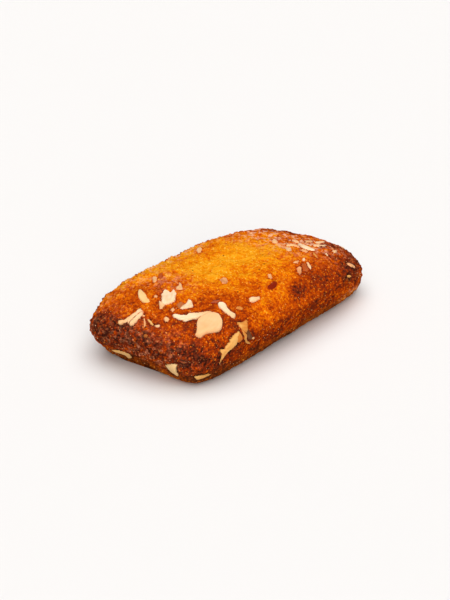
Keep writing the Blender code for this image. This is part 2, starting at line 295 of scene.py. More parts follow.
CREAM_FLAKES = (
    # the browned third of the top, first the large round slice and the wing that it half covers
    drawn(-31, -15.7, 8, (0.42, 0.26), (
        (-5.2, 0.5), (-4.7, -1), (-3.2, -1.4), (-2.1, -1.9), (-0.8, -2.7), (1, -3.2), (2.4, -3),
        (3.6, -2.3), (4.6, -1.3), (5.2, -0.1), (4.8, 1), (3.7, 2), (2.2, 2.6), (0.8, 2.9),
        (-0.4, 3), (-1.9, 2.3), (-3, 1.3), (-4.4, 0.4)), 1, 0.05, 0.35),
    drawn(-30.5, -10, -38, (-0.02, 0.34), (
        (-4.3, 0.9), (-3.7, -0.4), (-3, -1.3), (-1.5, -1.9), (-0.6, -2.5), (0.4, -2.6), (1.8, -3.1),
        (3.5, -3.8), (4.2, -3.6), (2.4, -1.9), (0.5, -0.6), (-0.8, 0.4), (-1.7, 0.5), (-2.6, 1.5),
        (-3, 3.2), (-3.6, 3.5), (-4.1, 2.9)), 0, 0.14, 0.08),
    drawn(-22.5, -15.6, 72, (0.26, -0.06), (
        (-1.4, -2.6), (-1, -3.2), (0.1, -3), (0.7, -2.4), (-0.1, -1.6), (0.1, -0.4), (1.5, 1.3),
        (1.5, 2.2), (0.9, 3.2), (0.3, 3.2), (-0.9, 1.9), (-1.3, 0.6), (-1.6, -0.6)), 1, 0.06, 0.15),
    drawn(-28.3, -6.8, 14, (0.2, 0.02), (
        (-2.7, 0.5), (-2.3, -0.4), (-1.3, -1.1), (0, -1.6), (0.8, -1.5), (2.6, 0.4), (2.6, 1.6),
        (0.6, 0.8), (-1.3, 0.6)), 0, 0.08, 0.25),
    drawn(-27.1, 0.3, 30, (0.12, 0.02), (
        (-3.4, -0.1), (-4.1, -1.4), (-3.4, -1.9), (-2.8, -2.4), (-1.7, -3), (-0.6, -2.7), (1.2, -1.3),
        (2.4, -0.9), (2.8, -0.1), (3.9, 0.9), (4.1, 1.6), (2, 0.9), (2.4, 2.1), (2.3, 2.8), (1.7, 3),
        (0.4, 2.5), (-0.6, 2.2), (-1.2, 1.4)), 0, 0.16, 0.1),
    drawn(-32, -0.6, 40, (0.4, 0.22), (
        (-1.6, -1.1), (-1, -1.5), (0.8, -1), (1.1, -0.3), (1.6, 1.3), (1.4, 1.5),
        (-0.3, 0.1)), 0, 0.08),
    drawn(-20.9, 1.2, 42, (0.44, 0.26), (
        (-1.8, -1), (-1.2, -1.7), (-0.7, -1.4), (1.3, 0.6), (1.9, 1.7), (0, 0.8), (-0.8, 0.9),
        (-1.8, 0.1)), 0, 0.1, 0.05),
    drawn(-36.3, -6.1, 30, (0.44, 0.3), (
        (-0.8, -0.3), (-0.4, -0.9), (0.5, -0.6), (0.8, 0), (0.8, 0.9), (-0.3, 0.8)), 0, 0.08, 0.1),
    drawn(-31.9, -4.9, 28, (0.46, 0.36), (
        (-0.9, -0.5), (-0.1, -0.7), (1, 0.6), (-0.7, 0.4)), 0, 0.05, 0.1),
    drawn(-29.3, 3.1, 20, (0.52, 0.44), (
        (-0.9, -0.3), (0.1, -0.8), (0.9, 0.1), (0.2, 0.8)), 1, 0.05),
    drawn(-21.1, 10, 42, (0.56, 0.28), (
        (-1.7, -1.4), (-0.6, -1.3), (1.5, 0.2), (1.8, 1.4), (1, 1.5), (-1.3, -0.4)), 0, 0.08, 0.05),
    # the fan of thin pieces on the rim above the near end
    drawn(-38.8, 4.5, -28, (0.4, 0.12), (
        (-3.1, 1.4), (-3.1, 0.7), (-2.1, -0.8), (-0.8, -1.2), (1.1, -1.8), (2.7, -1.9), (3.2, -1.4),
        (1.2, -1.2), (-0.1, -0.5), (-1.7, 0.1), (-2.4, 1.4), (-2.6, 1.8)), 0, 0.06, 0.12),
    drawn(-38.8, 2.3, -16, (0.22, 0.16), (
        (-2.4, 0.8), (-1.2, 0.4), (1.2, 0), (2.5, -0.3), (2.7, 0.3), (1.1, 0.8), (-0.7, 1.2),
        (-1.9, 1.5)), 0, 0.05, 0.15),
    drawn(-38.8, 2.3, -20, (0.22, 0.2), (
        (-2.7, -0.1), (-2.3, -0.8), (-1.4, -1.1), (-0.2, -1.4), (1.1, -1.5), (2.4, -0.6), (1, -0.4),
        (-1, 0), (-2.2, 0.4)), 0, 0.05, 0.2),
    drawn(-39.4, -1.2, 46, (0.54, 0.44), (
        (-1, -0.5), (-0.9, -1.1), (0, -0.4), (1, 0.8), (0.9, 1.1), (0, 0.3)), 0, 0.02, 0.12),
    drawn(-39, -5.1, -60, (0.3, 0.2), (
        (-0.6, -0.1), (-0.3, -0.9), (0.6, -0.6), (0.1, 0.2), (-0.3, 0.9)), 1, 0.02, 0.15),
    drawn(-37.9, 0.3, 0, (0.5, 0.5), (
        (-0.4, 0.1), (0, -0.5), (0.4, -0.1), (0, 0.5)), 0, 0.02, 0.1),
    # the pale middle
    drawn(5, 14.6, 38, (0.38, 0.28), (
        (-2.8, -1.9), (-1.6, -1.7), (0.2, -0.8), (2, 0.9), (2.7, 1.9), (1.2, 1.5), (-0.9, 0.4))),
    drawn(-10.4, -5.7, 42, (0.64, 0.5), (
        (-1.9, -0.8), (-1.2, -1.6), (0.5, -1), (1.9, 0.5), (1.7, 1.5), (0.1, 1.6))),
    drawn(1.1, -12.9, 38, (0.56, 0.4), (
        (-1.3, -0.4), (-1.2, -1.1), (0.1, -0.7), (1.3, 0.8), (0.3, 1.1))),
    drawn(-11.8, -17.3, 3, (0.2, 0.34), (
        (-2.3, 0.1), (-0.8, -0.8), (0.9, -0.9), (2.3, 0.3), (0.2, 0.3), (-0.6, 0.8),
        (-1.6, 0.9)), 0, 0.1, 0.1),
    # the far part of the top: a cluster of thin sticks, dots and chips
    drawn(25.6, -7.5, 103, (-0.02, 0.16), (
        (-1, 0.8), (-1.3, -1), (-0.8, -2.6), (-0.2, -3.4), (0.7, -2.9), (0.9, -1), (0.9, 0.8),
        (1.1, 2.4), (1.1, 3.4), (0, 2.4)), 0, 0.06, 0.15),
    drawn(35.2, -5.9, 10, (0.2, 0.12), (
        (-1.9, 0.3), (-2.1, -0.8), (0.8, -0.9), (2.2, -0.4), (0, 0.2), (-1.2, 0.7)), 0, 0.04, 0.05),
    drawn(32.8, -8.9, 12, (0.2, 0.12), (
        (-2.7, 0.2), (-2.3, -0.4), (-0.8, -0.8), (2.6, 0.6), (-1, 0), (-2.3, 0.6)), 0, 0.03, 0.05),
    drawn(30, -8.5, 120, (0.3, 0.22), (
        (-1.3, 0.3), (-1.2, -0.5), (-0.6, -1.2), (1.3, -0.3), (0.2, 0.4), (-0.4, 1.2)), 0, 0.04, 0.15),
    drawn(31.5, -4.2, 20, (0.4, 0.34), (
        (-2.4, -0.9), (1, -0.9), (2.3, -0.3), (0.8, 0), (-0.3, 0.4)), 0, 0.04, 0.05),
    drawn(24.1, -5.1, 110, (0.46, 0.4), (
        (-0.9, 0.8), (-0.4, -0.5), (-0.1, -1.7), (0.9, 0.5), (-0.3, 1.7)), 0, 0.04, 0.1),
    drawn(22.7, -9.1, 110, (0.5, 0.44), (
        (-0.6, 0.2), (-0.6, -1.2), (0.4, -1.2), (0.6, 0.4), (0.1, 1.2)), 0, 0.03, 0.1),
    drawn(31.8, -19.3, -10, (0.56, 0.5), (
        (-1.7, 0.1), (-1.5, -0.8), (1, -0.5), (1.7, -0.2), (0, 0.5), (-1.2, 0.8)), 0, 0.05, 0.1),
    drawn(28.4, -2.6, 128, (0.4, 0.32), (
        (-1, 0.3), (-0.7, -1.5), (-0.1, -0.9), (0.9, 0.6), (-0.5, 1.6)), 0, 0.05, 0.15),
    drawn(23, 1.3, 45, (0.4, 0.28), (
        (-1.5, -0.4), (-0.9, -1.4), (0.1, -1.1), (1, 0), (1.4, 1.3), (-0.6, 0.7)), 0, 0.06, 0.05),
    drawn(20.1, -5.4, 30, (0.2, 0.28), (
        (-1.7, -1.5), (0.1, -1.3), (0.9, -0.6), (1.7, 0.2), (0.9, 1.6), (-1.3, -0.4)), 0, 0.08, 0.05),
    drawn(22.9, -4, 120, (0.34, 0.3), (
        (-0.9, 0.6), (0.2, -1.1), (0.8, -0.8), (-0.2, 1.1)), 0, 0.03, 0.15),
    drawn(16, -15.4, 50, (0.3, 0.26), (
        (-1, -1.2), (-0.4, -1.2), (0.5, -0.5), (1, 0.8), (0.7, 1.3), (-0.3, 0.2)), 0, 0.04, 0.15),
    drawn(11, -15.8, 38, (0.64, 0.54), (
        (-1.7, -1.2), (-0.2, -0.8), (1.7, 0.6), (1.6, 1.3), (0.5, 1.3), (-1.2, -0.1)), 0, 0.1, 0.05),
    drawn(14.5, -12.7, 10, (0.44, 0.52), (
        (-1.6, 0.1), (-0.7, -0.6), (1.6, 0.4), (-0.1, 0.4), (-1.4, 0.6)), 0, 0.08, 0.05),
    drawn(17.2, -12.9, 20, (0.2, 0.16), (
        (-0.8, -0.5), (0.3, -0.5), (0.9, 0.4), (-0.3, 0.6)), 1, 0.02, 0.15),
    drawn(27, -13.9, 45, (0.22, 0.18), (
        (-0.9, -0.8), (-0.2, -0.7), (0.9, 0.5), (0.4, 0.9)), 0, 0.03, 0.2),
    drawn(31.4, -13.7, 20, (0.26, 0.22), (
        (-1.2, -0.6), (0.2, -0.6), (1.2, 0.5), (-0.8, 0.4)), 0, 0.03, 0.2),
    # a small bit beside the curl on the right-hand side
    drawn(-20.1, 10.4, 20, (0.44, 0.4), (
        (-0.6, -0.2), (0.5, -0.4), (0.3, 0.3), (-0.5, 0.4)), 0, 0.03, 0.1, face="right"),
)
GOLDEN_FLAKES = (
    # the browned third of the top
    drawn(-30.6, 6.1, 56, (0.14, 0), (
        (-2.5, -1.6), (-2.2, -2.9), (-1.3, -3.3), (-0.6, -2.4), (-0.1, -1.2), (0.8, -0.3), (2.1, 2.1),
        (2.5, 3.1), (1.7, 3.3), (-0.3, 1.8), (-1.3, 0.7), (-2, -0.5)), 1, 0.06, 0.1),
    drawn(-38.9, -2.7, 66, (0.3, 0.34), (
        (-0.6, -1.3), (-0.3, -1.4), (0.4, -0.2), (0.7, 0.9), (0.5, 1.5), (-0.4, -0.3)), 0, 0.02, 0.1),
    drawn(-42.4, -4, 60, (0.95, 0.9), (
        (-0.5, 0.2), (-0.3, -0.7), (0.2, -0.6), (0.5, 0.4), (-0.2, 0.7)), 0, 0.03, 0.15),
    # the right-hand side: the long blade beside the corner, the curl, and a dot far along
    drawn(-28.9, 10.5, 42, (0.42, 0.34), (
        (-3.5, -2.3), (-3.4, -3.5), (-3.1, -1.8), (-2.2, -1.1), (-1.3, -0.6), (0.1, -0.2), (1.4, 0.4),
        (2.1, 1.3), (2.5, 2.4), (3.7, 3.5), (2.4, 3.3), (1.3, 3), (-0.1, 2.3), (-0.1, 1.8), (-0.8, 1.6),
        (-0.9, 1.2), (-1.8, 0.9), (-1.9, 0.4), (-3.3, 0.6), (-3.7, 0.1), (-3.4, -0.5), (-3.5, -1.1)),
        0, 0.07, 0.1, face="right"),
    drawn(-25.9, 12.6, 60, (0.8, 0.66), (
        (-1.1, 0), (-0.8, -1.2), (0.4, -1.3), (1.1, -0.5), (1, 0.3), (0.7, 1.3),
        (-0.2, 0.8)), 1, 0.05, 0.05, face="right"),
    drawn(-22.2, 14.2, -20, (0.46, 0.8), (
        (-2, 0.7), (-2, 0), (-1.4, -0.9), (-0.5, -1.3), (0.2, -0.4), (1, 0.5), (1.7, 1.3),
        (0.1, 1), (-1.5, 1.4)), 0, 0.05, 0.3, face="right"),
    drawn(-22.5, 11.5, -60, (0.66, 0.46), (
        (-1.7, 1.4), (-1.4, -0.1), (-0.1, -1.9), (1.4, -2.8), (1.7, -2.2), (0.5, -1.5), (-0.7, 0),
        (-0.4, 0.9), (-0.9, 1.8), (-1.6, 2.6)), 0, 0.05, 0.2, face="right"),
    drawn(26.9, 11, 10, (0.5, 0.46), (
        (-0.8, -0.1), (0.7, -0.5), (0.8, 0.2), (-0.7, 0.5)), 1, 0.02, 0.15, face="right"),
    # two small ones on the top, nearer its right-hand edge
    drawn(-19, -17.3, 20, (0.62, 0.6), (
        (-0.9, 0.2), (-0.1, -0.9), (0.9, -0.6), (0.5, 0.4), (-0.7, 0.8)), 0, 0.06),
    drawn(23.1, -12.5, 60, (0.6, 0.56), (
        (-0.9, -1.4), (-0.4, -1.4), (0.8, 0.8), (0.9, 1.4), (-0.1, 0.3)), 0, 0.05, 0.1),
    # the lower part of the near end
    drawn(7.9, 3.3, -20, (0.3, 0.14), (
        (-3.6, 1.2), (-2.4, 0.5), (-1.2, 0.2), (0.3, -0.2), (0.9, -1.2), (2.2, -0.8), (2.3, 1),
        (0.5, 1.4), (-2.2, 1.5)), 0, 0.08, 0.1, face="near"),
    drawn(-10.9, 5.2, 60, (0.1, -0.04), (
        (-2, 1.3), (-1.7, 0), (-1.3, -1.2), (-0.6, -2), (0.3, -2.5), (0.7, -0.9), (1.3, 0.8),
        (2, 2.3), (0.6, 2.5)), 0, 0.06, 0.1, face="near"),
    drawn(-17.3, 3.5, 0, (0.34, 0.44), (
        (-0.9, -0.7), (0, -0.7), (0.8, -0.3), (0.9, 0.4), (-0.1, 0.7),
        (-0.9, 0.4)), 0, 0.05, face="near"),
)
# Brown bits of skin, and one dark flake that paints the shade in the curl's hollow
BROWN_FLAKES_AND_CURL_SHADE = (
    # bits of skin on the top
    drawn(-22.1, -11.6, -40, (0.88, 0.86), (
        (-1.5, 0.7), (-0.7, -0.1), (0.3, -0.7), (1.5, -1), (1, 0.2), (0.1, 0.9)), 0, 0.08),
    drawn(-29.1, -5.2, 20, (0.58, 0.62), (
        (-1.5, -0.5), (-1.4, -1.1), (-0.5, -1.1), (1.3, -0.6), (1.5, 1), (-0.4, 1.1)), 0, 0.08),
    drawn(-2.3, -16.2, 17, (0.97, 0.94), (
        (-2.4, -0.3), (-1.7, -1.1), (0.6, -0.7), (2.4, 0.1), (2.4, 1), (-0.1, 0.8),
        (-2.2, 0.4)), 1, 0.03, 0.1),
    drawn(-18.6, 9.7, 22, (0.8, 0.76), (
        (-1.7, -1.1), (-0.2, -0.8), (1.3, 0.4), (1.5, 1), (0, 1), (-1.3, 0.1)), 0, 0.08, 0.12),
    drawn(14.1, -15.6, 35, (0.7, 0.72), (
        (-2.1, -0.8), (-1.2, -1.6), (0.3, -1), (2.1, 1.3), (0.6, 1.6), (-0.7, 0.5))),
    # a dark flake that paints the shade in the hollow of the curl
    drawn(-21.8, 11.9, -85, (0.14, 0.26), (
        (-1.1, 0.9), (-1.3, 0.2), (0.1, -1.4), (1, -1.9), (1.3, -1.3), (0.7, 0), (-0.1, 1.3),
        (-0.3, 1.9)), 1, 0.03, face="right"),
)

# Flakes on the left side and the far end, drawn by the CAD's rule: how many, their sizes and heights
# in mm, how far they keep from the ends, and how far they wander from even places and headings
HIDDEN_FLAKES = (("left", 6), ("far", 3))
HIDDEN_LENGTH = (3.0, 6.5)
HIDDEN_WIDTH = (1.8, 3.2)
HIDDEN_HEIGHT = (6.5, 11.0)
HIDDEN_TONES = (0.25, 0.4)
HIDDEN_MARGIN = 9.0
HIDDEN_SPREAD = (0.2, 0.8)
HIDDEN_TURN = 60

# The way each face looks. It is seen from outside with +Z up, and the top with +Y up.
FACES = {"top": (0, 0, 1), "right": (0, -1, 0), "left": (0, 1, 0), "near": (-1, 0, 0), "far": (1, 0, 0)}
CAST_DISTANCE = 200.0

# Sugar grains that glint on the crust, in mm: how far they reach from their middle, the shares of
# that in two ways along the crust and out of it, and how far the middle stands over the smooth form.
# They lie above a lowest height, and more of them where the crust is browner.
GLINTS = 420
GLINT_SIZE = (0.06, 0.17)
GLINT_SHAPE = (1.0, 0.7, 0.8)
GLINT_PROUD = 0.12
GLINT_LOWEST = 1.5
GLINT_BAKE = (0.2, 0.75)

# The camera and the studio
CAMERA_AZIMUTH = -53.3
CAMERA_ELEVATION = 24.9
CAMERA_DISTANCE = 7 * LENGTH
CAMERA_TARGET = Vector((0.0, 0.0, 8.8))
CAMERA_LENS = 132.6
CAMERA_SENSOR = 36.0
CAMERA_SHIFT = (-0.0085, -0.0061)
FLOOR_SIZE = 6.0
FLOOR_COLOUR = (0.80, 0.785, 0.778, 1.0)
WORLD_STRENGTH = 0.14
SURROUND_COLOUR = (1.0, 0.99, 0.985, 1.0)
BACKDROP_COLOUR = (0.965, 0.947, 0.939, 1.0)
# Each lamp: its name, the azimuth and elevation it shines from, its strength, width and colour
LAMPS = (
    ("overhead", 0.0, 89.0, 1.85, 70.0, (1.0, 1.0, 1.0)),
    ("ahead", -50.0, 50.0, 1.70, 60.0, (1.0, 0.995, 0.985)),
    ("low_near_corner", -45.0, 18.0, 0.90, 30.0, (1.0, 0.96, 0.88)),
)


def on_outline(p, q, squareness):
    """Scale that takes the square's edge point (p, q) to a superellipse of unit half axes."""
    return (abs(p) ** squareness + abs(q) ** squareness) ** (-1.0 / squareness)


def side_point(p, q, height):
    """A point of the side, from the resting face up to the rim."""
    share = min(1.0, max(0.0, (height - BASE_ROUNDING) / (RIM_HEIGHT - BASE_ROUNDING)))
    scale = on_outline(p, q, BASE_SQUARENESS + (RIM_SQUARENESS - BASE_SQUARENESS) * share)
    x = LENGTH / 2 * p * scale
    y = WIDTH / 2 * q * scale
    drawn_in = max(0.0, 1 - height / RIM_HEIGHT) ** DRAFT_CURVE
    x *= 1 - (DRAFT_NEAR_END if x < 0 else DRAFT_FAR_END) / (LENGTH / 2) * drawn_in
    y *= 1 - (DRAFT_RIGHT if y < 0 else DRAFT_LEFT) / (WIDTH / 2) * drawn_in
    below = 1 - min(height, BASE_ROUNDING) / BASE_ROUNDING
    rounded = BASE_ROUNDING * (1 - math.sqrt(1 - below * below))
    shrink = 1 - rounded / math.hypot(x, y)
    return Vector((x * shrink, y * shrink, height))


def top_point(p, q, ring):
    """A point of the dome, from the crown (ring 0) out to the rim (ring 1)."""
    squareness = CROWN_SQUARENESS + (RIM_SQUARENESS - CROWN_SQUARENESS) * ring
    scale = on_outline(p, q, squareness) * ring
    rise = max(0.0, 1 - ring ** DOME_FLATNESS) ** DOME_SHOULDER
    return Vector((LENGTH / 2 * p * scale, WIDTH / 2 * q * scale, RIM_HEIGHT + DOME_HEIGHT * rise))


def smooth_point(u, v, w):
    """The smooth form's point for a point (u, v, w) of the cube from -1 to 1."""
    reach = max(abs(u), abs(v))
    p, q = (u / reach, v / reach) if reach > 0 else (1.0, 0.0)
    if w > 1 - TINY and reach < 1 - TINY:
        point = top_point(p, q, 1 - (1 - reach) ** SHOULDER_CROWDING)
    elif w < -1 + TINY:
        point = side_point(p, q, 0.0) * min(1.0, reach)
    else:
        point = side_point(p, q, RIM_HEIGHT * (w + 1) / 2)
    risen = point.z / (RIM_HEIGHT + DOME_HEIGHT)
    point.z += risen * (SLOPE_ALONG * point.x + SLOPE_ACROSS * point.y)
    return point


def smooth_step(value, low, high):
    """0 below low, 1 above high, and a smooth rise between them."""
    share = min(1.0, max(0.0, (value - low) / (high - low)))
    return share * share * (3 - 2 * share)


def smooth_fall(value, low, high):
    """1 below low, 0 above high, and a smooth fall between them."""
    return smooth_step(-value, -high, -low)


def between(pair, share):
    """Value at a share of the way from a pair's first number to its second."""
    return pair[0] + (pair[1] - pair[0]) * share


def relief(point):
    """Height of the crust's swells and lumps over the smooth form."""
    swell = noise.noise(point / SWELL_SIZE + NOISE_SHIFT)
    lump = noise.noise(point / LUMP_SIZE - NOISE_SHIFT)
    height = SWELL_HEIGHT * swell + LUMP_HEIGHT * lump - RELIEF_SETTLING
    return smooth_step(point.z, 0.0, RELIEF_FADE) * height


def unevenness(point):
    """Height of the wide bulges and dents over the smooth form."""
    total = 0.0
    for middle, radius, height in UNEVEN:
        distance = (point - Vector(middle)).length / radius
        total += height * math.exp(-distance * distance)
    return total


def cube_grid():
    """Points of a cube's top and sides on the fine grid, closed below by rings, and its quads."""
    cells = (CELLS_ALONG, CELLS_ACROSS, CELLS_UP)
    index = {}
    points = []
    quads = []

    def corner(*key):
        if key not in index:
            index[key] = len(points)
            points.append(tuple(2 * place / count - 1 for place, count in zip(key, cells)))
        return index[key]

    k = CELLS_UP
    for i in range(CELLS_ALONG):
        for j in range(CELLS_ACROSS):
            quads.append((corner(i, j, k), corner(i + 1, j, k),
                          corner(i + 1, j + 1, k), corner(i, j + 1, k)))
    border = [(i, 0) for i in range(CELLS_ALONG)]
    border += [(CELLS_ALONG, j) for j in range(CELLS_ACROSS)]
    border += [(i, CELLS_ACROSS) for i in range(CELLS_ALONG, 0, -1)]
    border += [(0, j) for j in range(CELLS_ACROSS, 0, -1)]
    for (a, b), (c, d) in zip(border, border[1:] + border[:1]):
        for k in range(CELLS_UP):
            quads.append((corner(a, b, k), corner(c, d, k), corner(c, d, k + 1), corner(a, b, k + 1)))
    outer = [corner(a, b, 0) for a, b in border]
    for scale in BASE_RINGS:
        start = len(points)
        for a, b in border:
            points.append(((2 * a / CELLS_ALONG - 1) * scale, (2 * b / CELLS_ACROSS - 1) * scale, -1.0))
        inner = list(range(start, len(points)))
        for step, vert in enumerate(outer):
            after = (step + 1) % len(outer)
            quads.append((vert, inner[step], inner[after], outer[after]))
        outer = inner
    points.append((0.0, 0.0, -1.0))
    for step, vert in enumerate(outer):
        quads.append((vert, len(points) - 1, outer[(step + 1) % len(outer)]))
    return points, quads


def normals_of(points, faces):
    """Outward normal at each point."""
    mesh = bpy.data.meshes.new("scratch")
    mesh.from_pydata(points, [], faces)
    mesh.update()
    normals = [vert.normal.copy() for vert in mesh.vertices]
    bpy.data.meshes.remove(mesh)
    return normals


def fill_box(points):
    """Stretch the form slightly so that its plan box is LENGTH by WIDTH about the origin."""
    for axis, size in ((0, LENGTH), (1, WIDTH)):
        low = min(point[axis] for point in points)
        high = max(point[axis] for point in points)
        for point in points:
            point[axis] = ((point[axis] - low) / (high - low) - 0.5) * size


def cake_skin():
    """The CAD cake's form without its flakes: points, and the faces between them."""
    cube, faces = cube_grid()
    points = [smooth_point(*place) for place in cube]
    normals = normals_of(points, faces)
    for point, normal in zip(points, normals):
        resting = point.z < TINY
        point += normal * (relief(point.copy()) + unevenness(point))
        point.z = 0.0 if resting else max(point.z, LOWEST_SIDE)
    fill_box(points)
    return points, faces


def patches_at(point, patches):
    """Sum of soft patches at a point."""
    total = 0.0
    for middle, radii, amount in patches:
        away = sum(((point[axis] - middle[axis]) / radii[axis]) ** 2 for axis in range(3))
        total += amount * math.exp(-away)
    return total


def bake_at(point, normal):
    """How brown the crust is at a point, 0 to 1."""
    pale = 1 - GOLD_BAKE
    for (along, across), start, end, share in BAKE_BANDS:
        pale *= 1 - share * smooth_step(point.x * along + point.y * across, start, end)
    bake = between((1 - pale, SIDE_BAKE), smooth_fall(normal.z, *SIDE_TURN))
    bake += patches_at(point, BAKE_PATCHES) + BAKE_SWELL * noise.noise(point / DRIFT_SIZE + NOISE_SHIFT)
    back = smooth_step(normal.dot(BACK_RIM), *BACK_RIM_TURN)
    bake += BACK_RIM_BAKE * back * smooth_step(normal.z, *BACK_RIM_RISE)
    bake -= EDGE_GOLD * smooth_fall(point.z, *EDGE_HEIGHTS) * smooth_fall(point.x, *EDGE_END)
    return min(DARKEST, max(0.0, bake))


def grain(point, rough):
    """Height of the crust's grain: rounded clumps and granules with creases, and pits."""
    clump = abs(noise.noise(point / CLUMP_SIZE + NOISE_SHIFT)) - CREASE_LEVEL
    granule = abs(noise.noise(point / GRANULE_SIZE - NOISE_SHIFT)) - CREASE_LEVEL
    pit = max(0.0, noise.noise(point / PIT_SIZE + NOISE_SHIFT * 2) - PIT_LEVEL)
    height = between(CLUMP_HEIGHT, rough) * clump + between(GRANULE_HEIGHT, rough) * granule
    return height - between(PIT_DEPTH, rough) * pit


def add_item(name, data):
    """An object in the scene."""
    item = bpy.data.objects.new(name, data)
    bpy.context.scene.collection.objects.link(item)
    return item


def face_away(item, back):
    """Turn a lamp or a camera so that it looks away from a direction."""
    item.rotation_mode = "QUATERNION"
    item.rotation_quaternion = (-back).to_track_quat("-Z", "Y")


def new_piece(name, points, faces, material):
    """A mesh piece from points in mm, riding on the cake's body."""
    mesh = bpy.data.meshes.new(name)
    mesh.from_pydata([point * MM for point in points], [], faces)
    mesh.materials.append(material)
    mesh.shade_smooth()
    item = add_item(name, mesh)
    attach(item, "root")
    return item


def keep_values(item, name, values):
    """Store one number a vertex on a piece, for its material."""
    item.data.attributes.new(name, "FLOAT", "POINT").data.foreach_set("value", values)


def crumb_piece(points, faces, almonds, material):
    """The cake with the grain of its crust, pressed down under the almonds."""
    shaped = []
    kept = {"bake": [], "dust_and_sheen": [], "height": [], "rough": [], "foot": []}
    for point, normal in zip(points, normals_of(points, faces)):
        back = normal.dot(BACK_RIM)
        bake = bake_at(point, normal)
        rough = min(1.0, ROUGHNESS + patches_at(point, ROUGH_PATCHES))
        rough = max(rough, smooth_step(back, *BACK_RIM_ROUGH))
        height = grain(point, rough)
        raised = height * smooth_step(point.z, 0.0, GRAIN_FADE)
        # Painted shade, with some scorch: the crust darkens close round each almond
        near = almonds.find_nearest(point, SCORCH_AND_SHADE_REACH)[3]
        if near is not None:
            bake += SCORCH_AND_SHADE * (1 - near / SCORCH_AND_SHADE_REACH)
        hit = almonds.ray_cast(point + normal * COVER_ABOVE, -normal, COVER_SEARCH)[0]
        if hit is not None:
            raised = min(raised, (hit - point).dot(normal) - UNDER_FLAKE)
        place = point + normal * raised
        place.z = 0.0 if point.z < TINY else max(place.z, LOWEST_SIDE / 2)
        shaped.append(place)
        kept["bake"].append(bake)
        # pale flecks, partly dust and partly painted sheen, kept off the back rim
        kept["dust_and_sheen"].append(patches_at(point, DUST_AND_SHEEN_PATCHES) * smooth_fall(back, *BACK_RIM_NO_DUST_OR_SHEEN))
        # the grain's height, which the material turns into painted shade in its pits and painted light on
        # its raised grains
        kept["height"].append(height)
        kept["rough"].append(rough)
        kept["foot"].append(smooth_fall(point.z, *FOOT_HEIGHTS) * smooth_step(point.x, *FOOT_START))
    piece = new_piece("crumb", shaped, faces, material)
    for name, values in kept.items():
        keep_values(piece, name, values)
    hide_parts("cake")


def rounded(corners, times):
    """A closed outline with its corners cut off, a number of times over."""
    for _ in range(times):
        cut = []
        for here, after in zip(corners, corners[1:] + corners[:1]):
            cut += [here.lerp(after, 0.25), here.lerp(after, 0.75)]
        corners = cut
    return corners


def rim_points(piece, seed):
    """A flake's outline as points at even steps, with a ragged edge."""
    corners = rounded([Vector(corner) for corner in piece.corners], piece.soft)
    rim = []
    for here, after in zip(corners, corners[1:] + corners[:1]):
        steps = max(1, round((after - here).length / FLAKE_STEP))
        rim += [here.lerp(after, step / steps) for step in range(steps)]
    ragged = []
    for before, here, after in zip(rim[-1:] + rim[:-1], rim, rim[1:] + rim[:1]):
        outwards = Vector((after.y - before.y, before.x - after.x)).normalized()
        wide = noise.noise(seed + Vector((here.x, here.y, 0)) / RAG_SIZES[0])
        fine = noise.noise(seed + Vector((here.x, here.y, 5)) / RAG_SIZES[1])
        ragged.append(here + outwards * piece.ragged * (wide + FINE_RAG * fine))
    return ragged


def from_rim(spot, rim):
    """Distance from a spot to a closed outline."""
    nearest = []
    for here, after in zip(rim, rim[1:] + rim[:1]):
        share = geometry.intersect_point_line(spot, here, after)[1]
        nearest.append((spot - here.lerp(after, min(1.0, max(0.0, share)))).length)
    return min(nearest)


def flat_slice(rim):
    """A flat slice inside an outline: spots, triangles, edges of the rim, and distances from it."""
    low = Vector((min(spot.x for spot in rim), min(spot.y for spot in rim)))
    high = Vector((max(spot.x for spot in rim), max(spot.y for spot in rim)))
    spots = list(rim)
    row = 1
    while low.y + row * FLAKE_STEP * ROW_SHARE < high.y:
        across = low.x + FLAKE_STEP * (0.5 + row % 2 / 2)
        while across < high.x:
            spot = Vector((across, low.y + row * FLAKE_STEP * ROW_SHARE))
            if from_rim(spot, rim) > GAP_SHARE * FLAKE_STEP:
                spots.append(spot)
            across += FLAKE_STEP
        row += 1
    edges = [(step, (step + 1) % len(rim)) for step in range(len(rim))]
    spots, _, triangles = geometry.delaunay_2d_cdt(spots, edges, [], 1, 1e-5)[:3]
    kept = sorted({vert for triangle in triangles for vert in triangle})
    place = {vert: step for step, vert in enumerate(kept)}
    spots = [spots[vert] for vert in kept]
    triangles = [tuple(place[vert] for vert in triangle) for triangle in triangles]
    sides = {(a, b) for triangle in triangles for a, b in zip(triangle, triangle[1:] + triangle[:1])}
    border = sorted((a, b) for a, b in sides if (b, a) not in sides)
    depths = [from_rim(spot, rim) for spot in spots]
    return spots, triangles, border, depths


